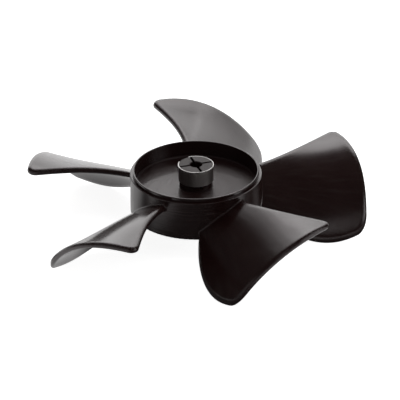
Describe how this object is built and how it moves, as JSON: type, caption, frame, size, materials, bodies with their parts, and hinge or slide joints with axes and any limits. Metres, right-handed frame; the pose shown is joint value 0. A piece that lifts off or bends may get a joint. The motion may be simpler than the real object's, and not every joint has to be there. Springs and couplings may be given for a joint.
{
  "type": "evaporator fan blade",
  "caption": "Small black plastic axial fan with curved blades on a cup-shaped hub, gripped on a motor shaft by a split collet and a spring clamp ring.",
  "frame": {"origin": "on the shaft axis, in the plane of the hub's rim", "axes": "+Z along the shaft axis towards the motor; +X to the right and +Y away from the viewer as pictured"},
  "size_m": [0.1094, 0.1079, 0.0246],
  "materials": {
    "black_plastic": "moulded plastic with a satin gloss",
    "spring_steel": "rolled spring steel"
  },
  "bodies": {
    "root": {"fan": "black_plastic", "clamp_ring": "spring_steel"}
  },
  "joints": []
}
